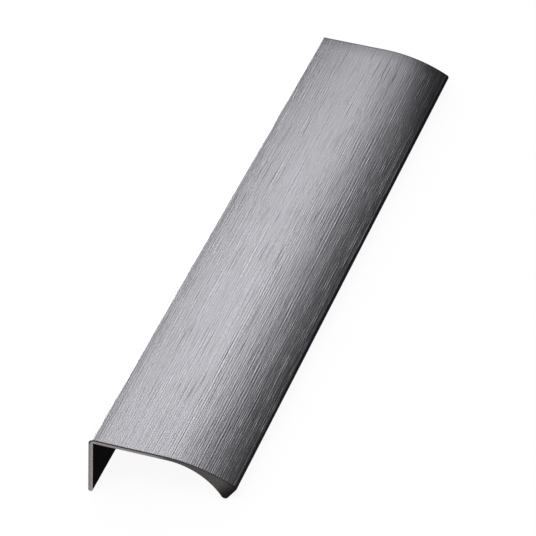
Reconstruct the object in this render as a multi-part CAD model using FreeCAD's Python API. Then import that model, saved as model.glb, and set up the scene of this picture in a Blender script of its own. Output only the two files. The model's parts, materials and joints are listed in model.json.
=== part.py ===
"""Finger pull profile: one length of extruded aluminium that caps the edge of a door or drawer front.

A flange goes down the back of the front and is screwed to it. A flat plate lies on the front's edge,
and a curved lip overhangs the face, with a hollow under it for the fingertips.

Millimetres, +Z up. The profile lies unheld on a level floor, top face up, on its flange's foot and its
lip's nose. X runs across it from the flange to the lip, and Y along its length.
The section is drawn with its plate level: u runs across from the flange's outer face, and v up from the
plate's top face. The finished profile is then tilted to the way that it comes to rest.
"""
import FreeCAD, Part
import math
import os

from FreeCAD import Vector

# Driving dimensions of the section, and its length
LENGTH = 200.0
WIDTH = 40.0
WALL = 1.2
FLANGE_HEIGHT = 17.0
FLAT_WIDTH = 20.0
LIP_CORNER_DROP = 5.0
LIP_NOSE_DROP = 10.0
LIP_SETBACK = 3.5
GRIP_RADIUS = 18.0

# Roundings of the section's corners
BACK_CORNER_ROUND = 1.5
LIP_CORNER_ROUND = 0.8
LIP_NOSE_ROUND = 1.0
FOOT_ROUND = 0.5

# Deburred edge round both sawn ends
END_BREAK = 0.1

# Countersunk screw holes through the flange, open to its outer face
SCREW_SPACING = 160.0
SCREW_ABOVE_FOOT = 8.0
SCREW_HOLE_DIAMETER = 3.5
SCREW_HOLE_LAND = 0.4
COUNTERSINK_ANGLE = 90.0

# How far a cutting tool runs past the faces that it cuts
CUT_OVERRUN = 1.0

ACROSS = Vector(1, 0, 0)
ALONG = Vector(0, 1, 0)


def at(u, v):
    """A point of the section, in the plane of the near end."""
    return Vector(u, -LENGTH / 2, v)


def towards(start, target, distance):
    """The point that lies a distance from a start, on the way to a target."""
    way = target - start
    return start + way * (distance / way.Length)


def line(start, end):
    """A straight stretch of the outline."""
    return Part.LineSegment(start, end).toShape()


def arc(centre, start, end):
    """The shorter arc from start to end about a centre."""
    chord_middle = (start + end) * 0.5
    top = towards(centre, chord_middle, (start - centre).Length)
    return Part.Arc(start, top, end).toShape()


# The top face is flat over the front's edge, then falls in one arc to the lip's corner
lip_run = WIDTH - FLAT_WIDTH
top_radius = (lip_run ** 2 + LIP_CORNER_DROP ** 2) / (2 * LIP_CORNER_DROP)
top_centre = at(FLAT_WIDTH, -top_radius)

# The hollow is an arc that leaves the plate's underside level and ends at the lip's nose
grip_depth = LIP_NOSE_DROP - WALL
grip_run = math.sqrt(2 * GRIP_RADIUS * grip_depth - grip_depth ** 2)
grip_start = WIDTH - LIP_SETBACK - grip_run
grip_centre = at(grip_start, -WALL - GRIP_RADIUS)

# The lip's straight face, from its corner back to its nose, as it is before they are rounded
lip_corner = at(WIDTH, -LIP_CORNER_DROP)
lip_nose = at(WIDTH - LIP_SETBACK, -LIP_NOSE_DROP)
lip_down = towards(Vector(), lip_nose - lip_corner, 1)
lip_inward = ALONG.cross(lip_down)


def lip_rounding(radius, arc_centre, arc_distance):
    """Centre of a rounding at an end of the lip's face.

    It lies one radius inside the face, and arc_distance from the centre of the arc that the rounding
    also touches.
    """
    base = lip_corner + lip_inward * radius
    to_arc = arc_centre - base
    half_chord = math.sqrt(arc_distance ** 2 - to_arc.dot(lip_inward) ** 2)
    return base + lip_down * (to_arc.dot(lip_down) - half_chord)


back_centre = at(BACK_CORNER_ROUND, -BACK_CORNER_ROUND)
corner_centre = lip_rounding(LIP_CORNER_ROUND, top_centre, top_radius - LIP_CORNER_ROUND)
nose_centre = lip_rounding(LIP_NOSE_ROUND, grip_centre, GRIP_RADIUS + LIP_NOSE_ROUND)
foot_level = FOOT_ROUND - FLANGE_HEIGHT
outer_foot_centre = at(FOOT_ROUND, foot_level)
inner_foot_centre = at(WALL - FOOT_ROUND, foot_level)


def section():
    """The profile's section, as a face at the near end."""
    flange_top = at(0, -BACK_CORNER_ROUND)
    flat_start = at(BACK_CORNER_ROUND, 0)
    flat_end = at(FLAT_WIDTH, 0)
    corner_on_top = towards(top_centre, corner_centre, top_radius)
    corner_on_lip = corner_centre - lip_inward * LIP_CORNER_ROUND
    nose_on_lip = nose_centre - lip_inward * LIP_NOSE_ROUND
    nose_on_grip = towards(grip_centre, nose_centre, GRIP_RADIUS)
    grip_end = at(grip_start, -WALL)
    inside_corner = at(WALL, -WALL)
    inner_foot_side = at(WALL, foot_level)
    inner_foot_base = at(WALL - FOOT_ROUND, -FLANGE_HEIGHT)
    outer_foot_base = at(FOOT_ROUND, -FLANGE_HEIGHT)
    outer_foot_side = at(0, foot_level)
    outline = [
        line(outer_foot_side, flange_top),
        arc(back_centre, flange_top, flat_start),
        line(flat_start, flat_end),
        arc(top_centre, flat_end, corner_on_top),
        arc(corner_centre, corner_on_top, corner_on_lip),
        line(corner_on_lip, nose_on_lip),
        arc(nose_centre, nose_on_lip, nose_on_grip),
        arc(grip_centre, nose_on_grip, grip_end),
        line(grip_end, inside_corner),
        line(inside_corner, inner_foot_side),
        arc(inner_foot_centre, inner_foot_side, inner_foot_base),
        line(inner_foot_base, outer_foot_base),
        arc(outer_foot_centre, outer_foot_base, outer_foot_side),
    ]
    return Part.Face(Part.Wire(outline))


def sawn_bar():
    """The section drawn out to its length, with both ends deburred."""
    bar = section().extrude(ALONG * LENGTH)
    ends = [face for face in bar.Faces if math.isclose(abs(face.CenterOfMass.y), LENGTH / 2)]
    edges = [edge for end in ends for edge in end.Edges]
    return bar.makeChamfer(END_BREAK, edges)


def screw_hole(y):
    """The cutting tool of one countersunk hole, a distance along from the middle of the length."""
    radius = SCREW_HOLE_DIAMETER / 2
    centre = Vector(0, y, SCREW_ABOVE_FOOT - FLANGE_HEIGHT)
    outside = centre - ACROSS * CUT_OVERRUN
    drill = Part.makeCylinder(radius, WALL + 2 * CUT_OVERRUN, outside, ACROSS)
    cone_height = WALL - SCREW_HOLE_LAND + CUT_OVERRUN
    mouth_radius = radius + cone_height * math.tan(math.radians(COUNTERSINK_ANGLE / 2))
    countersink = Part.makeCone(mouth_radius, radius, cone_height, outside, ACROSS)
    return drill.fuse(countersink)


def floor_slope(foot_centre):
    """Slope of the line that runs under one of the foot's roundings and the lip's nose, in radians."""
    span = nose_centre - foot_centre
    rounding_step = LIP_NOSE_ROUND - FOOT_ROUND
    return math.atan2(span.z, span.x) - math.asin(rounding_step / span.Length)


def finger_pull_profile():
    """The whole profile, as it lies on the floor, with its origin under the middle of its box."""
    profile = sawn_bar()
    for y in (-SCREW_SPACING / 2, SCREW_SPACING / 2):
        profile = profile.cut(screw_hole(y))
    tilt = max(floor_slope(outer_foot_centre), floor_slope(inner_foot_centre))
    profile.rotate(Vector(), ALONG, math.degrees(tilt))
    box = profile.optimalBoundingBox(False)
    profile.translate(Vector(-box.Center.x, 0, -box.ZMin))
    return profile


os.makedirs("parts", exist_ok=True)
finger_pull_profile().exportStep("parts/finger_pull_profile.step")
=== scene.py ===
"""Dresses the finger pull profile: models its metal, finishes it, and sets its stage, lights and camera."""

import json
import logging
import math
from abc import ABC, abstractmethod
from dataclasses import dataclass, field
from enum import Enum
from typing import Any, Callable

import bpy
from mathutils import Matrix, Vector


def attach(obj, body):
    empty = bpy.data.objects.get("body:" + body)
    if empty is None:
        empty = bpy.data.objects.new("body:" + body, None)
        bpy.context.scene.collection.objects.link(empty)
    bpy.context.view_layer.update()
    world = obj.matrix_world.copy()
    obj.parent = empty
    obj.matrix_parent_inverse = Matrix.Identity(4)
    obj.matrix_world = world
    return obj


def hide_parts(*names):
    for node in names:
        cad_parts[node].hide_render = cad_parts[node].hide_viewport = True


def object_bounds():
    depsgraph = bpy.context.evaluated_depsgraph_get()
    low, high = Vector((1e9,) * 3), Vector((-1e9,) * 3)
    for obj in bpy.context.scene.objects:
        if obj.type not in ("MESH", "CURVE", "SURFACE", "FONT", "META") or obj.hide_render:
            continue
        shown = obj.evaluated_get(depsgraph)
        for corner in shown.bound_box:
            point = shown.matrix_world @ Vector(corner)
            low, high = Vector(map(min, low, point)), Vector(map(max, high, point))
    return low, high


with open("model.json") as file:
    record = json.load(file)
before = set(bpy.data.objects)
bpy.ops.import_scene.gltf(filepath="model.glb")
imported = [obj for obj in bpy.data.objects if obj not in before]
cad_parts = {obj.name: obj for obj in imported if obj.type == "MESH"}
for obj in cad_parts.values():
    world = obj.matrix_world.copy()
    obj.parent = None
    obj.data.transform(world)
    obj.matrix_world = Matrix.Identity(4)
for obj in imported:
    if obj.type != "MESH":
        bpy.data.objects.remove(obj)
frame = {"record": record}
CAD_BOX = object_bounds()
MOUNTS = {mount["name"]: mount for mount in frame["record"]["mounts"]}

LOG = logging.getLogger("finger_pull")
MM = 0.001
PROFILE_NODE = "finger_pull_profile"

# Slack for picking edges and faces: by their place in millimetres, and by the way that a face points
PLACE_SLACK = 0.01
FACING_SLACK = 0.01

# Sockets of the Mix node when it mixes colours
MIX_FACTOR, MIX_COLOUR_A, MIX_COLOUR_B, MIX_COLOUR = 0, 6, 7, 2

# The wave texture's scale at which its diagonal bands repeat once in each unit of x + y + z
WAVE_UNIT = math.pi / 5

# The level about which marks swing
MIDDLE = 0.5


def linear(colour: str) -> tuple[float, float, float, float]:
    """Turns an sRGB hex colour into linear red, green, blue and alpha.

    Args:
        colour: Six hex digits after a hash sign.

    Returns:
        The colour as shader sockets take it.
    """
    parts = [int(colour[start:start + 2], 16) / 255 for start in (1, 3, 5)]
    red, green, blue = (
        part / 12.92 if part <= 0.04045 else ((part + 0.055) / 1.055) ** 2.4
        for part in parts
    )
    return red, green, blue, 1.0


def outward(azimuth: float, elevation: float) -> Vector:
    """Gives the direction in which a lamp or the camera stands.

    Args:
        azimuth: Degrees round from the near end's side, with 90 on the lip's side.
        elevation: Degrees above level.

    Returns:
        The direction out from the object, one unit long.
    """
    turn, rise = math.radians(azimuth), math.radians(elevation)
    return Vector((math.sin(turn) * math.cos(rise), -math.cos(turn) * math.cos(rise), math.sin(rise)))


def add(
    tree: bpy.types.NodeTree,
    kind: str,
    settings: dict[str | int, Any] | None = None,
    links: dict[str | int, bpy.types.NodeSocket] | None = None,
) -> bpy.types.Node:
    """Adds a node with its settings and links.

    Args:
        tree: The node tree of a material or the world.
        kind: The node's type name.
        settings: Values of the node's own properties, or of its input sockets by name or number.
        links: The output socket that feeds each named or numbered input.

    Returns:
        The new node.
    """
    node = tree.nodes.new(kind)
    for key, value in (settings or {}).items():
        if isinstance(key, str) and hasattr(node, key):
            setattr(node, key, value)
        else:
            node.inputs[key].default_value = value
    for key, socket in (links or {}).items():
        tree.links.new(socket, node.inputs[key])
    return node


def new_material(name: str) -> tuple[bpy.types.Material, bpy.types.NodeTree]:
    """Makes an empty node material.

    Args:
        name: The material's name.

    Returns:
        The material and its node tree.
    """
    material = bpy.data.materials.new(name)
    material.use_nodes = True
    material.node_tree.nodes.clear()
    return material, material.node_tree


def deselect_all() -> None:
    """Leaves object mode with nothing selected."""
    if bpy.context.mode != "OBJECT":
        bpy.ops.object.mode_set(mode="OBJECT")
    bpy.ops.object.select_all(action="DESELECT")


class Pick(Enum):
    """What is picked of a mesh, by the name of its select mode."""

    EDGES = "EDGE"
    FACES = "FACE"


def clear_picks(pick: Pick) -> None:
    """Deselects the active mesh all over, ready for picking in object mode.

    Args:
        pick: What is picked next.
    """
    bpy.ops.object.mode_set(mode="EDIT")
    bpy.ops.mesh.select_mode(type=pick.value)
    bpy.ops.mesh.select_all(action="DESELECT")
    bpy.ops.object.mode_set(mode="OBJECT")


def select_edges(piece: bpy.types.Object, wanted: Callable[[Vector, Vector], bool]) -> None:
    """Selects the edges of a piece by where their ends are, and leaves it in edit mode.

    Args:
        piece: The object being modelled.
        wanted: A test of an edge's two end points.
    """
    clear_picks(Pick.EDGES)
    points = piece.data.vertices
    for edge in piece.data.edges:
        edge.select = wanted(*(points[index].co for index in edge.vertices))
    bpy.ops.object.mode_set(mode="EDIT")


def select_faces(piece: bpy.types.Object, wanted: Callable[[Vector, Vector], bool]) -> None:
    """Selects the faces of a piece by where they are and face, and leaves it in edit mode.

    Args:
        piece: The object being modelled.
        wanted: A test of a face's middle and outward direction.
    """
    clear_picks(Pick.FACES)
    for face in piece.data.polygons:
        face.select = wanted(face.center, face.normal)
    bpy.ops.object.mode_set(mode="EDIT")


def apply_modifier(piece: bpy.types.Object, kind: str, **settings: Any) -> None:
    """Adds a modifier to a piece and applies it at once.

    Args:
        piece: The object being modelled.
        kind: The modifier's type name.
        settings: The modifier's properties.
    """
    modifier = piece.modifiers.new(kind.lower(), kind)
    for key, value in settings.items():
        setattr(modifier, key, value)
    bpy.context.view_layer.objects.active = piece
    bpy.ops.object.modifier_apply(modifier=modifier.name)


@dataclass(frozen=True)
class Straight:
    """A flat stretch of the skin, drawn out to a point of the section."""

    end: Vector

    def draw(self, start: Vector) -> None:
        """Extrudes the selected edge from its place at start."""
        bpy.ops.mesh.extrude_region_move(TRANSFORM_OT_translate={"value": self.end - start})


@dataclass(frozen=True)
class Round:
    """A rounded stretch of the skin, turned about a centre to a point of the section."""

    centre: Vector
    end: Vector
    flatness: float = 0.006 * MM
    fewest_steps: int = 6

    def draw(self, start: Vector) -> None:
        """Spins the selected edge from its place at start, in steps that stay close to the true arc.

        Args:
            start: The section point where the edge is now.
        """
        before, after = start - self.centre, self.end - self.centre
        # Spin's angle is left-handed about its axis
        turn = math.atan2(before.x * after.z - before.z * after.x, before.x * after.x + before.z * after.z)
        step = 2 * math.acos(1 - self.flatness / before.length)
        steps = max(self.fewest_steps, math.ceil(abs(turn) / step))
        bpy.ops.mesh.spin(steps=steps, angle=turn, center=self.centre, axis=(0, 1, 0))


@dataclass(frozen=True)
class Section:
    """The profile's section, in millimetres.

    In it u runs across from the flange's outer face, and v up from the plate's top face.
    """

    width: float = 40.0
    wall: float = 1.2
    flange_height: float = 17.0
    flat_width: float = 20.0
    lip_corner_drop: float = 5.0
    lip_nose_drop: float = 10.0
    lip_setback: float = 3.5
    grip_radius: float = 18.0
    back_round: float = 1.5
    corner_round: float = 0.8
    nose_round: float = 1.0
    foot_round: float = 0.5

    @staticmethod
    def at(u: float, v: float) -> Vector:
        """A point of the section, in metres."""
        return Vector((u, 0, v)) * MM

    def lip_rounding(self, radius: float, arc_centre: Vector, arc_distance: float) -> tuple[Vector, Vector]:
        """Finds a rounding at an end of the lip's straight face.

        Args:
            radius: The rounding's radius in millimetres.
            arc_centre: Centre of the arc that the rounding also touches.
            arc_distance: How far the rounding's centre lies from that centre, in millimetres.

        Returns:
            The rounding's centre, and the point where it meets the lip's face.
        """
        corner = self.at(self.width, -self.lip_corner_drop)
        nose = self.at(self.width - self.lip_setback, -self.lip_nose_drop)
        down = (nose - corner).normalized()
        inward = Vector((0, 1, 0)).cross(down)
        base = corner + inward * radius * MM
        to_arc = arc_centre - base
        half_chord = math.sqrt((arc_distance * MM) ** 2 - to_arc.dot(inward) ** 2)
        centre = base + down * (to_arc.dot(down) - half_chord)
        return centre, centre - inward * radius * MM

    @property
    def top_radius(self) -> float:
        """Radius of the arc in which the top face falls to the lip."""
        lip_run = self.width - self.flat_width
        return (lip_run ** 2 + self.lip_corner_drop ** 2) / (2 * self.lip_corner_drop)

    def depth(self, point: Vector) -> float:
        """How far a point lies under the top face, in millimetres.

        Args:
            point: A point of the section, in metres.

        Returns:
            The depth under the flat, the back corner's rounding or the lip's arc.
        """
        u, v = point.x / MM, point.z / MM
        if u < self.back_round:
            return self.back_round - math.hypot(u - self.back_round, v + self.back_round)
        if u < self.flat_width:
            return -v
        return self.top_radius - math.hypot(u - self.flat_width, v + self.top_radius)

    def outline(self) -> list[Straight | Round]:
        """Walks round the section from the end of the flat top and back to the start of it.

        Returns:
            The stretches of the skin in order.
        """
        wall, foot = self.wall, self.foot_round
        foot_level = foot - self.flange_height
        top_radius = self.top_radius
        top_centre = self.at(self.flat_width, -top_radius)
        grip_depth = self.lip_nose_drop - wall
        grip_run = math.sqrt(2 * self.grip_radius * grip_depth - grip_depth ** 2)
        grip_start = self.width - self.lip_setback - grip_run
        grip_centre = self.at(grip_start, -wall - self.grip_radius)
        corner_reach = top_radius - self.corner_round
        corner, corner_on_lip = self.lip_rounding(self.corner_round, top_centre, corner_reach)
        corner_on_top = top_centre + (corner - top_centre).normalized() * top_radius * MM
        nose_reach = self.grip_radius + self.nose_round
        nose, nose_on_lip = self.lip_rounding(self.nose_round, grip_centre, nose_reach)
        nose_on_grip = grip_centre + (nose - grip_centre).normalized() * self.grip_radius * MM
        return [
            Round(top_centre, corner_on_top),
            Round(corner, corner_on_lip),
            Straight(nose_on_lip),
            Round(nose, nose_on_grip),
            Round(grip_centre, self.at(grip_start, -wall)),
            Straight(self.at(wall, -wall)),
            Straight(self.at(wall, foot_level)),
            Round(self.at(wall - foot, foot_level), self.at(wall - foot, -self.flange_height)),
            Straight(self.at(foot, -self.flange_height)),
            Round(self.at(foot, foot_level), self.at(0, foot_level)),
            Straight(self.at(0, -self.back_round)),
            Round(self.at(self.back_round, -self.back_round), self.at(self.back_round, 0)),
        ]


@dataclass(frozen=True)
class Lie:
    """How the section lies in the frame: its tilt about the length, and where its origin comes to."""

    tilt: float
    origin: Vector

    @classmethod
    def from_record(cls, section: Section) -> "Lie":
        """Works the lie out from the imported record's two seats, which meet in the profile's inside corner.

        Args:
            section: The section's sizes.

        Returns:
            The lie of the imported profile.
        """
        edge, back = MOUNTS["edge_seat"], MOUNTS["back_seat"]
        edge_place, back_place = Vector(edge["pos_m"]), Vector(back["pos_m"])
        edge_axis, back_axis = Vector(edge["axis"]), Vector(back["axis"])
        inside_corner = edge_place + back_axis * (back_place - edge_place).dot(back_axis)
        to_outer_corner = (-back_axis - edge_axis) * section.wall * MM
        return cls(math.atan2(-edge_axis.x, -edge_axis.z), inside_corner + to_outer_corner)

    @property
    def matrix(self) -> Matrix:
        """Carries a point of the level section to its place in the frame."""
        return Matrix.Translation(self.origin) @ Matrix.Rotation(self.tilt, 4, "Y")

    def section_mm(self, tree: bpy.types.NodeTree) -> bpy.types.NodeSocket:
        """Adds the nodes that give a point's u, length and v in millimetres.

        Args:
            tree: A material's node tree.

        Returns:
            The vector socket of u, y and v.
        """
        place = add(tree, "ShaderNodeTexCoord").outputs["Object"]
        turned = {
            "vector_type": "TEXTURE",
            "Location": self.origin,
            "Rotation": (0, self.tilt, 0),
            "Scale": (MM,) * 3,
        }
        return add(tree, "ShaderNodeMapping", turned, {"Vector": place}).outputs["Vector"]


@dataclass(frozen=True)
class Marks(ABC):
    """A layer of marks.

    It holds how wide and long they are in millimetres, their share in a sum of layers, where a share
    above one sharpens them, and a shift that keeps one layer's marks from falling on another's.
    """

    across: float
    along: float
    share: float = 1.0
    shift: float = 0.0

    def stretched(self, tree: bpy.types.NodeTree, place: bpy.types.NodeSocket) -> bpy.types.NodeSocket:
        """Adds the node that measures places in marks.

        Args:
            tree: A material's node tree.
            place: The socket of u, y and v in millimetres.

        Returns:
            The vector socket in which a mark is one unit wide and long. Its first and last numbers both grow
            on the way round the section from the flange's foot to the lip.
        """
        stretch = (1 / self.across, 1 / self.along, -1 / self.across)
        moved = {"operation": "MULTIPLY_ADD", 1: stretch, 2: (self.shift,) * 3}
        return add(tree, "ShaderNodeVectorMath", moved, {0: place}).outputs["Vector"]

    @abstractmethod
    def add_to(self, tree: bpy.types.NodeTree, place: bpy.types.NodeSocket) -> bpy.types.NodeSocket:
        """Adds the layer's nodes.

        Args:
            tree: A material's node tree.
            place: The socket of u, y and v in millimetres.

        Returns:
            The socket of the marks, about a middle of one half.
        """


def layered(
    tree: bpy.types.NodeTree, place: bpy.types.NodeSocket, layers: tuple[Marks, ...]
) -> bpy.types.NodeSocket:
    """Adds layers of marks, each by its share, about a middle of one half.

    Args:
        tree: A material's node tree.
        place: The socket of u, y and v in millimetres.
        layers: The layers.

    Returns:
        The socket of the layers' sum.
    """
    total = add(tree, "ShaderNodeValue").outputs["Value"]
    total.default_value = (1 - sum(layer.share for layer in layers)) * MIDDLE
    for layer in layers:
        weighted = {"operation": "MULTIPLY_ADD", 1: layer.share}
        links = {0: layer.add_to(tree, place), 2: total}
        total = add(tree, "ShaderNodeMath", weighted, links).outputs["Value"]
    return total


def strengthened(
    tree: bpy.types.NodeTree, marks: bpy.types.NodeSocket, strength: bpy.types.NodeSocket
) -> bpy.types.NodeSocket:
    """Scales marks about their middle of one half.

    Args:
        tree: A material's node tree.
        marks: The socket of the marks.
        strength: The socket of their strength, where one leaves them as they are.

    Returns:
        The socket of the stronger or weaker marks.
    """
    swing = add(tree, "ShaderNodeMath", {"operation": "SUBTRACT", 1: MIDDLE}, {0: marks}).outputs["Value"]
    scaled = {"operation": "MULTIPLY_ADD", 2: MIDDLE}
    return add(tree, "ShaderNodeMath", scaled, {0: swing, 1: strength}).outputs["Value"]


@dataclass(frozen=True)
class Grain(Marks):
    """Uneven marks with soft edges, and finer marks within them."""

    detail: float = 1.0

    def add_to(self, tree: bpy.types.NodeTree, place: bpy.types.NodeSocket) -> bpy.types.NodeSocket:
        """Adds the marks as noise."""
        noise = {"Scale": 1.0, "Detail": self.detail}
        return add(tree, "ShaderNodeTexNoise", noise, {"Vector": self.stretched(tree, place)}).outputs["Fac"]


@dataclass(frozen=True)
class Hairlines(Marks):
    """Straight fine lines along the length, which wander a little and break up."""

    breaks: tuple[Grain, ...] = ()
    wander: float = 8.0
    wander_scale: float = 0.5

    def add_to(self, tree: bpy.types.NodeTree, place: bpy.types.NodeSocket) -> bpy.types.NodeSocket:
        """Adds the lines as a wave whose strength follows the breaks.

        Args:
            tree: A material's node tree.
            place: The socket of u, y and v in millimetres.

        Returns:
            The socket of the lines, about a middle of one half.
        """
        bands = {
            "bands_direction": "DIAGONAL",
            "Scale": WAVE_UNIT,
            "Distortion": self.wander,
            "Detail": 0.0,
            "Detail Scale": self.wander_scale,
        }
        wave = add(tree, "ShaderNodeTexWave", bands, {"Vector": self.stretched(tree, place)}).outputs["Fac"]
        return strengthened(tree, wave, layered(tree, place, self.breaks))


class Way(Enum):
    """Directions in u, y and v, along which a level can change."""

    ACROSS = (1.0, 0.0, 0.0)
    ALONG = (0.0, 1.0, 0.0)
    FROM_BACK = (1.0, -0.03, 0.0)
    FROM_NEAR_BACK = (1.0, 0.3, 0.0)
    TO_NOSE = (1.0, 0.0, -1.0)
    TO_FAR_LIP = (1.0, 0.2, 0.0)


@dataclass(frozen=True)
class Ramp:
    """A level that eases from one value to another between two places, in millimetres along a way."""

    way: Way
    start: float
    end: float
    before: float
    after: float

    def add_to(self, tree: bpy.types.NodeTree, place: bpy.types.NodeSocket) -> bpy.types.NodeSocket:
        """Adds the ramp.

        Args:
            tree: A material's node tree.
            place: The socket of u, y and v in millimetres.

        Returns:
            The socket of the level.
        """
        measured = {"operation": "DOT_PRODUCT", 1: self.way.value}
        value = add(tree, "ShaderNodeVectorMath", measured, {0: place}).outputs["Value"]
        limits = {"From Min": self.start, "From Max": self.end, "To Min": self.before, "To Max": self.after}
        settings = {"interpolation_type": "SMOOTHSTEP"} | limits
        return add(tree, "ShaderNodeMapRange", settings, {"Value": value}).outputs["Result"]


@dataclass(frozen=True)
class Scratches:
    """Sparse dark scratches: their marks, their level, and where in the marks' range they show."""

    marks: Grain
    level: float
    start: float = 0.62
    full: float = 0.74

    def add_to(self, tree: bpy.types.NodeTree, place: bpy.types.NodeSocket) -> bpy.types.NodeSocket:
        """Adds the scratches.

        Args:
            tree: A material's node tree.
            place: The socket of u, y and v in millimetres.

        Returns:
            The socket of the level.
        """
        limits = {"From Min": self.start, "From Max": self.full, "To Min": 1.0, "To Max": self.level}
        settings = {"interpolation_type": "SMOOTHSTEP"} | limits
        lines = self.marks.add_to(tree, place)
        return add(tree, "ShaderNodeMapRange", settings, {"Value": lines}).outputs["Result"]


class Zone(Enum):
    """The profile's finishes, by the number of their material slot."""

    BRUSHED = 0
    DYED = 1
    SAWN = 2
    BURRED = 3
    COUNTERSUNK = 4


@dataclass(frozen=True)
class Finish:
    """A metal surface.

    Its grains are marks between two tones, and its grooves are marks in relief. Levels darken or lighten
    parts of it, among them scratches, painted shade and painted highlights, and strengths make the marks
    stronger or weaker in parts of it.
    """

    name: str
    light: str
    dark: str
    roughness: float
    grains: tuple[Marks, ...]
    grooves: tuple[Marks, ...]
    groove_depth: float
    contrast: float = 1.5
    roughness_spread: float = 0.1
    levels: tuple[Ramp | Scratches, ...] = ()
    strengths: tuple[Ramp, ...] = ()
    anisotropy: float = 0.0
    grazing: str = "#FFFFFF"

    def colour(
        self, tree: bpy.types.NodeTree, place: bpy.types.NodeSocket, tone: bpy.types.NodeSocket
    ) -> bpy.types.NodeSocket:
        """Adds the two tones and the levels.

        Args:
            tree: The material's node tree.
            place: The socket of u, y and v in millimetres.
            tone: The socket of the way from the dark tone to the light one.

        Returns:
            The socket of the colour.
        """
        tones = {"data_type": "RGBA", MIX_COLOUR_A: linear(self.dark), MIX_COLOUR_B: linear(self.light)}
        colour = add(tree, "ShaderNodeMix", tones, {MIX_FACTOR: tone}).outputs[MIX_COLOUR]
        for level in self.levels:
            scaled = {"Vector": colour, "Scale": level.add_to(tree, place)}
            colour = add(tree, "ShaderNodeVectorMath", {"operation": "SCALE"}, scaled).outputs["Vector"]
        return colour

    def material(self, lie: Lie) -> bpy.types.Material:
        """Makes the material.

        Args:
            lie: How the section lies in the frame.

        Returns:
            The finish.
        """
        material, tree = new_material(self.name)
        place = lie.section_mm(tree)
        marks, height = layered(tree, place, self.grains), layered(tree, place, self.grooves)
        for ramp in self.strengths:
            strength = ramp.add_to(tree, place)
            marks, height = strengthened(tree, marks, strength), strengthened(tree, height, strength)
        half_range = MIDDLE / self.contrast
        spread = {"From Min": MIDDLE - half_range, "From Max": MIDDLE + half_range}
        tone = add(tree, "ShaderNodeMapRange", spread, {"Value": marks}).outputs["Result"]
        half_spread = self.roughness_spread / 2
        smoother = {"To Min": self.roughness + half_spread, "To Max": self.roughness - half_spread}
        rough = add(tree, "ShaderNodeMapRange", smoother, {"Value": tone}).outputs["Result"]
        grooved = {"Strength": 1.0, "Distance": self.groove_depth}
        relief = add(tree, "ShaderNodeBump", grooved, {"Height": height}).outputs["Normal"]
        links = {"Base Color": self.colour(tree, place, tone), "Roughness": rough, "Normal": relief}
        if self.anisotropy:
            around = {"direction_type": "RADIAL", "axis": "Y"}
            links["Tangent"] = add(tree, "ShaderNodeTangent", around).outputs["Tangent"]
        constants = {
            "Metallic": 1.0,
            "Anisotropic": self.anisotropy,
            "Specular Tint": linear(self.grazing),
        }
        shader = add(tree, "ShaderNodeBsdfPrincipled", constants, links)
        add(tree, "ShaderNodeOutputMaterial", links={"Surface": shader.outputs["BSDF"]})
        return material


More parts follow.
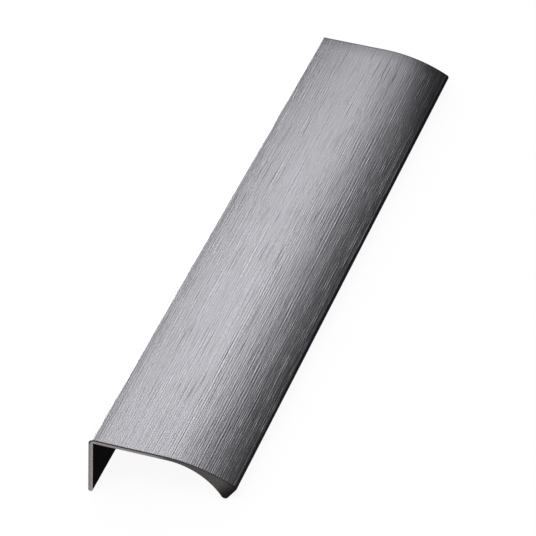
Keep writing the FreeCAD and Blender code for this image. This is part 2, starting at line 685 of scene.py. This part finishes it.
FINISHES = {
    # Brushed with a belt along its length, then anodised grey. The hairlines spread reflections across the
    # length, so the face reads as a soft satin sheen with fine streaks. A real hairline is a few hundredths
    # of a millimetre wide, and the lines, grooves and scratches are drawn coarser so that they show.
    Zone.BRUSHED: Finish(
        name="anodised_aluminium_brushed",
        light="#CECDD2",
        dark="#807F85",
        roughness=0.36,
        grains=(
            Hairlines(0.74, 150.0, share=0.1, shift=31.0, breaks=(Grain(0.7, 16.0, share=6.0, shift=7.0),)),
            Hairlines(0.64, 150.0, share=0.18, shift=91.0, breaks=(Grain(0.7, 5.0, share=6.0, shift=17.0),)),
            Hairlines(0.58, 150.0, share=0.4, shift=43.0, breaks=(Grain(0.5, 1.0, share=4.0, shift=3.0),)),
            Grain(0.9, 60.0, share=0.08, shift=57.0),
        ),
        grooves=(
            Hairlines(0.7, 150.0, share=0.65, shift=71.0, breaks=(Grain(0.7, 20.0, share=6.0, shift=37.0),)),
            Hairlines(0.8, 150.0, share=0.65, shift=11.0, breaks=(Grain(0.7, 6.0, share=6.0, shift=47.0),)),
        ),
        groove_depth=0.041 * MM,
        levels=(
            Scratches(Grain(0.3, 20.0, shift=11.0), 0.4),
            # Painted shade towards the back, a painted highlight on the back corner's rounding, and a strip
            # of painted shade beside it
            Ramp(Way.FROM_BACK, -6.0, 15.0, 0.7, 1.0),
            Ramp(Way.ACROSS, 0.9, 1.5, 1.25, 1.0),
            Ramp(Way.ACROSS, 1.5, 4.0, 0.8, 1.0),
            # Painted shade towards the lip, where a painted dark strip, a thin painted highlight line and a
            # painted dark edge end the face
            Ramp(Way.ACROSS, 27.0, 38.6, 1.0, 0.76),
            Ramp(Way.ACROSS, 37.6, 38.4, 1.0, 0.68),
            Ramp(Way.ACROSS, 38.55, 38.65, 1.0, 1.6),
            Ramp(Way.ACROSS, 38.9, 39.0, 1.0, 0.4),
            # Painted shade, darkest at the lip's far corner and falling slowly towards the far end, up to a
            # dark line along that end
            Ramp(Way.TO_FAR_LIP, 46.0, 56.0, 1.0, 0.48),
            Ramp(Way.ALONG, 55.0, 100.0, 1.0, 0.97),
            Ramp(Way.ALONG, 93.0, 99.5, 1.0, 0.76),
            Ramp(Way.ALONG, 99.2, 99.6, 1.0, 0.5),
        ),
        strengths=(
            # The belt bites less along the middle of the flat
            Ramp(Way.ACROSS, 5.0, 9.0, 1.0, 0.74),
            Ramp(Way.ACROSS, 17.5, 21.5, 1.0, 1.35),
            # It also bites less by the near end's back corner, and at the far end
            Ramp(Way.FROM_NEAR_BACK, -20.0, 5.0, 0.78, 1.0),
            Ramp(Way.ALONG, 60.0, 90.0, 1.0, 0.78),
        ),
        anisotropy=0.6,
    ),
    # Left as extruded and dyed nearly black. It keeps the inside of the profile dark, also at grazing
    # angles, where the dye takes more of the light, and painted shade makes it darker still on the flange.
    # The die's fine lines are drawn coarser, so that they show faintly.
    Zone.DYED: Finish(
        name="anodised_aluminium_dyed",
        light="#404043",
        dark="#2E2E31",
        roughness=0.45,
        grains=(Grain(0.5, 300.0),),
        grooves=(Grain(0.6, 300.0),),
        groove_depth=0.01 * MM,
        # Painted shade on the flange's inside
        levels=(Ramp(Way.ACROSS, 1.3, 3.0, 0.4, 1.0),),
        grazing="#8C8C8C",
    ),
    # Sawn across after dyeing, so the cut shows bare metal of a warm grey. It is lightest at the flange's
    # inner side and darker towards the thick lip and the nose. The saw's fine marks are drawn coarser, so
    # that they show.
    Zone.SAWN: Finish(
        name="aluminium_sawn",
        light="#9C9695",
        dark="#787473",
        roughness=0.5,
        grains=(Grain(0.5, 0.5), Grain(0.15, 0.15)),
        grooves=(Grain(0.3, 0.3),),
        groove_depth=0.01 * MM,
        levels=(
            Ramp(Way.ACROSS, 0.1, 1.1, 0.9, 1.28),
            Ramp(Way.ACROSS, 1.2, 2.5, 1.0, 0.9),
            Ramp(Way.ACROSS, 15.5, 22.0, 1.0, 0.3),
            Ramp(Way.TO_NOSE, 39.0, 45.0, 1.0, 0.15),
        ),
    ),
    # A dull dark line follows the top face's edge on each end. Its marks are drawn as coarse as the saw's.
    Zone.BURRED: Finish(
        name="aluminium_dark_line",
        light="#4A494B",
        dark="#383738",
        roughness=0.5,
        grains=(Grain(0.5, 0.5),),
        grooves=(Grain(0.3, 0.3),),
        groove_depth=0.01 * MM,
        levels=(Ramp(Way.TO_NOSE, 39.0, 45.0, 1.0, 0.15),),
    ),
    # Countersunk with a drill, which leaves bright turned metal round each screw hole. The drill's fine
    # marks are drawn coarser, so that they show.
    Zone.COUNTERSUNK: Finish(
        name="aluminium_countersunk",
        light="#A8A7AA",
        dark="#8C8B8E",
        roughness=0.35,
        grains=(Grain(0.15, 0.15),),
        grooves=(Grain(0.3, 0.3),),
        groove_depth=0.01 * MM,
    ),
}


@dataclass(frozen=True)
class ScrewHoles:
    """The flange's countersunk screw holes: lengths in millimetres, and the angle in degrees."""

    land: float = 0.4
    countersink_angle: float = 90.0
    overrun: float = 1.0
    sides: int = 64

    def cut(self, piece: bpy.types.Object, section: Section, lie: Lie) -> None:
        """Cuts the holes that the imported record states, in the level section.

        Args:
            piece: The profile's object.
            section: The section's sizes.
            lie: How the section lies in the frame.
        """
        mount = MOUNTS["flange_screws"]
        height = (lie.matrix.inverted() @ Vector(mount["pos_m"])).z
        radius = mount["dims"]["hole_r_mm"]
        half_spacing = mount["dims"]["pcd_mm"] / 2 * MM
        for along in (-half_spacing, half_spacing):
            cutter = self.cutter(Vector((0, along, height)), radius, section.wall)
            apply_modifier(piece, "BOOLEAN", operation="DIFFERENCE", solver="EXACT", object=cutter)
            bpy.data.objects.remove(cutter)

    def cutter(self, centre: Vector, radius: float, wall: float) -> bpy.types.Object:
        """Models the space that one hole takes up.

        Args:
            centre: Where the hole's axis meets the flange's outer face, in metres.
            radius: The hole's radius in millimetres.
            wall: The flange's thickness in millimetres.

        Returns:
            The cutter's object.
        """
        land_start, land_end = wall - self.land, wall + self.overrun
        deselect_all()
        bpy.ops.mesh.primitive_cylinder_add(
            vertices=self.sides,
            radius=radius * MM,
            depth=(land_end - land_start) * MM,
            location=centre + Vector(((land_start + land_end) / 2 * MM, 0, 0)),
            rotation=(0, math.pi / 2, 0),
        )
        cutter = bpy.context.object
        bpy.ops.object.transform_apply(location=True, rotation=True, scale=True)
        near_land_start = centre.x + (land_start + PLACE_SLACK) * MM
        select_edges(cutter, lambda start, end: max(start.x, end.x) < near_land_start)
        cone_height = land_start + self.overrun
        growth = 1 + cone_height * math.tan(math.radians(self.countersink_angle / 2)) / radius
        bpy.ops.mesh.extrude_region_move(TRANSFORM_OT_translate={"value": (-cone_height * MM, 0, 0)})
        bpy.ops.transform.resize(value=(1, growth, growth), center_override=centre)
        bpy.ops.mesh.select_all(action="SELECT")
        bpy.ops.mesh.normals_make_consistent(inside=False)
        bpy.ops.object.mode_set(mode="OBJECT")
        return cutter


@dataclass
class Profile:
    """The extruded profile: its section, its holes, and the finishes of its faces.

    Sizes are in millimetres and angles in degrees. The frame gives the length, in metres, and the lie.
    """

    section: Section = field(default_factory=Section)
    holes: ScrewHoles = field(default_factory=ScrewHoles)
    end_break: float = 0.1
    dark_line_width: float = 0.32
    merge_distance: float = 0.005
    smooth_angle: float = 30.0
    normal_weight: int = 50
    length: float = field(init=False)
    lie: Lie = field(init=False)

    def __post_init__(self) -> None:
        """Takes the length and the lie from the frame."""
        self.length = CAD_BOX[1].y - CAD_BOX[0].y
        self.lie = Lie.from_record(self.section)

    def build(self) -> bpy.types.Object:
        """Models the profile as by hand, with its plate level.

        Returns:
            The profile's object.
        """
        piece = self.draw_skin()
        self.close_ends(piece)
        self.holes.cut(piece, self.section, self.lie)
        return piece

    def draw_skin(self) -> bpy.types.Object:
        """Draws the skin round the section from the flat top, and joins it up.

        Returns:
            The profile's object, open at both ends.
        """
        section = self.section
        flat_start, flat_end = section.at(section.back_round, 0), section.at(section.flat_width, 0)
        deselect_all()
        bpy.ops.mesh.primitive_plane_add(size=1, location=(flat_start + flat_end) / 2)
        piece = bpy.context.object
        piece.name = piece.data.name = "profile_skin"
        piece.scale = ((flat_end - flat_start).x, self.length, 1)
        bpy.ops.object.transform_apply(location=True, rotation=True, scale=True)
        near_flat_end = flat_end.x - PLACE_SLACK * MM
        select_edges(piece, lambda start, end: min(start.x, end.x) > near_flat_end)
        reached = flat_end
        for stretch in section.outline():
            stretch.draw(reached)
            reached = stretch.end
        bpy.ops.mesh.select_all(action="SELECT")
        bpy.ops.mesh.remove_doubles(threshold=self.merge_distance * MM)
        return piece

    def close_ends(self, piece: bpy.types.Object) -> None:
        """Closes both ends of the skin, breaks their edges, and marks off the dark line's width on them.

        Args:
            piece: The profile's object.
        """
        # An edge lies in an end where its points' places along the length add up to all of the length
        near_length = self.length - 2 * PLACE_SLACK * MM
        for side in (-1, 1):
            select_edges(piece, lambda start, end: side * (start.y + end.y) > near_length)
            bpy.ops.mesh.edge_face_add()
        bpy.ops.mesh.select_all(action="SELECT")
        bpy.ops.mesh.normals_make_consistent(inside=False)
        select_edges(piece, lambda start, end: abs(start.y + end.y) > near_length)
        bpy.ops.mesh.bevel(offset=self.end_break * MM, segments=1, affect="EDGES", clamp_overlap=False)
        select_faces(piece, lambda middle, normal: abs(normal.y) > 1 - FACING_SLACK)
        bpy.ops.mesh.inset(thickness=self.dark_line_width * MM, use_even_offset=True, use_individual=True)
        bpy.ops.object.mode_set(mode="OBJECT")

    def zone(self, middle: Vector, normal: Vector) -> Zone:
        """Tells which finish a face of the level section has.

        Args:
            middle: The face's middle, in metres.
            normal: The face's outward direction.

        Returns:
            The face's zone.
        """
        section = self.section
        u, v = middle.x / MM, middle.z / MM
        if abs(middle.y) > self.length / 2 - self.end_break * MM:
            on_plate = u > section.back_round or v > -section.back_round
            at_top = section.depth(middle) < self.dark_line_width and on_plate
            return Zone.BURRED if at_top else Zone.SAWN
        between_faces = PLACE_SLACK < u < section.wall - PLACE_SLACK
        if between_faces and section.foot_round - section.flange_height < v < -section.wall:
            return Zone.COUNTERSUNK
        on_top = normal.z > math.cos(math.radians(self.smooth_angle))
        on_back = normal.x < 0 and normal.z > -FACING_SLACK and u < section.back_round
        return Zone.BRUSHED if on_top or on_back else Zone.DYED

    def dress(self, piece: bpy.types.Object) -> None:
        """Gives each face its finish, lays the profile down and smooths it.

        Args:
            piece: The modelled profile, still level.
        """
        for zone in Zone:
            piece.data.materials.append(FINISHES[zone].material(self.lie))
        for face in piece.data.polygons:
            face.material_index = self.zone(face.center, face.normal).value
        deselect_all()
        piece.select_set(True)
        bpy.context.view_layer.objects.active = piece
        piece.matrix_world = self.lie.matrix
        bpy.ops.object.transform_apply(location=True, rotation=True, scale=True)
        bpy.ops.object.shade_smooth_by_angle(angle=math.radians(self.smooth_angle))
        apply_modifier(
            piece, "WEIGHTED_NORMAL", mode="FACE_AREA", weight=self.normal_weight, keep_sharp=True
        )
        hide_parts(PROFILE_NODE)
        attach(piece, "root")
        LOG.info("%s: %d faces", piece.name, len(piece.data.polygons))


@dataclass(frozen=True)
class Floor:
    """A plain pale floor that reads as white and keeps a soft shadow. Its side is in metres."""

    side: float = 40.0
    paint: str = "#FCFCFC"
    white_share: float = 0.93

    def build(self) -> None:
        """Lays the floor under the object."""
        deselect_all()
        bpy.ops.mesh.primitive_plane_add(size=self.side, location=(0, 0, CAD_BOX[0].z))
        floor = bpy.context.object
        floor.name = "floor"
        floor.data.materials.append(self.material())
        LOG.info("%s: stage", floor.name)

    def material(self) -> bpy.types.Material:
        """Makes matt white paint that the camera and the metal see as a white ground.

        Returns:
            The floor's material.
        """
        material, tree = new_material("matt_white_floor")
        paint = add(tree, "ShaderNodeBsdfDiffuse", {"Color": linear(self.paint)})
        white = add(tree, "ShaderNodeEmission", {"Strength": 1.0})
        path = add(tree, "ShaderNodeLightPath")
        seen = path.outputs["Is Camera Ray"]
        for ray in ("Is Glossy Ray", "Is Transmission Ray"):
            either = {0: seen, 1: path.outputs[ray]}
            seen = add(tree, "ShaderNodeMath", {"operation": "MAXIMUM"}, either).outputs["Value"]
        weighted = {"operation": "MULTIPLY", 1: self.white_share}
        share = add(tree, "ShaderNodeMath", weighted, {0: seen}).outputs["Value"]
        both = {0: share, 1: paint.outputs["BSDF"], 2: white.outputs["Emission"]}
        mixed = add(tree, "ShaderNodeMixShader", links=both)
        add(tree, "ShaderNodeOutputMaterial", links={"Surface": mixed.outputs["Shader"]})
        return material


@dataclass(frozen=True)
class SoftBox:
    """A soft studio lamp that faces the object.

    It holds where the lamp hangs, in degrees and metres, its size in metres, and how bright its face is.
    """

    name: str
    azimuth: float
    elevation: float
    distance: float
    width: float
    height: float
    brightness: float

    def build(self) -> None:
        """Hangs the lamp, out of the camera's sight."""
        lamp = bpy.data.lights.new(self.name, "AREA")
        lamp.shape = "ELLIPSE"
        lamp.size, lamp.size_y = self.width, self.height
        lamp.energy = math.pi * self.brightness * self.width * self.height
        holder = bpy.data.objects.new(self.name, lamp)
        bpy.context.scene.collection.objects.link(holder)
        out = outward(self.azimuth, self.elevation)
        holder.location = out * self.distance
        holder.rotation_euler = out.to_track_quat("Z", "Y").to_euler()
        holder.visible_camera = False
        LOG.info("%s: lamp", self.name)


@dataclass(frozen=True)
class Studio:
    """The stage and its plain soft light."""

    floor: Floor = field(default_factory=Floor)
    ambient: str = "#3E3E40"
    lamps: tuple[SoftBox, ...] = (
        SoftBox("key", azimuth=-165.0, elevation=43.0, distance=1.6, width=1.6, height=0.6, brightness=1.2),
        SoftBox("rim", azimuth=-143.0, elevation=12.0, distance=1.6, width=1.0, height=0.8, brightness=6.0),
        SoftBox("front", azimuth=-10.0, elevation=62.0, distance=1.8, width=1.6, height=1.2, brightness=3.2),
        SoftBox("side", azimuth=60.0, elevation=35.0, distance=1.8, width=1.0, height=1.0, brightness=1.0),
        SoftBox("back", azimuth=-90.0, elevation=38.0, distance=1.8, width=1.4, height=1.0, brightness=1.5),
        SoftBox("near", azimuth=15.0, elevation=27.0, distance=1.8, width=1.2, height=0.8, brightness=0.9),
        SoftBox("top", azimuth=105.0, elevation=68.0, distance=1.8, width=1.4, height=1.2, brightness=1.0),
    )

    def build(self) -> None:
        """Sets the floor, the lamps and the room's own dim light."""
        self.floor.build()
        for lamp in self.lamps:
            lamp.build()
        world = bpy.data.worlds.new("studio_room")
        world.use_nodes = True
        world.node_tree.nodes.clear()
        room = add(world.node_tree, "ShaderNodeBackground", {"Color": linear(self.ambient), "Strength": 1.0})
        add(world.node_tree, "ShaderNodeOutputWorld", links={"Surface": room.outputs["Background"]})
        bpy.context.scene.world = world
        bpy.context.scene.view_settings.view_transform = "Standard"


@dataclass(frozen=True)
class PhotoCamera:
    """The photograph's view of the level section: angles in degrees, lengths in millimetres."""

    azimuth: float = 16.380
    elevation: float = 36.395
    roll: float = 2.292
    distance: float = 1007.87
    aim: tuple[float, float, float] = (18.605, -8.327, -5.0)
    lens: float = 249.10
    sensor: float = 36.0

    def build(self, lie: Lie) -> None:
        """Sets the camera, carried with the section from level to the way it lies.

        Args:
            lie: How the section lies in the frame.
        """
        back = outward(self.azimuth, self.elevation)
        place = (Vector(self.aim) + back * self.distance) * MM
        facing = back.to_track_quat("Z", "Y").to_matrix().to_4x4()
        rolled = Matrix.Rotation(math.radians(self.roll), 4, "Z")
        data = bpy.data.cameras.new("photo_camera")
        data.lens, data.sensor_width = self.lens, self.sensor
        camera = bpy.data.objects.new("photo_camera", data)
        bpy.context.scene.collection.objects.link(camera)
        camera.matrix_world = lie.matrix @ Matrix.Translation(place) @ facing @ rolled
        bpy.context.scene.camera = camera
        LOG.info("%s: camera", camera.name)


def main() -> None:
    """Builds the profile, its studio and its camera."""
    logging.basicConfig(level=logging.INFO)
    profile = Profile()
    profile.dress(profile.build())
    Studio().build()
    PhotoCamera().build(profile.lie)


if __name__ == "__main__":
    main()
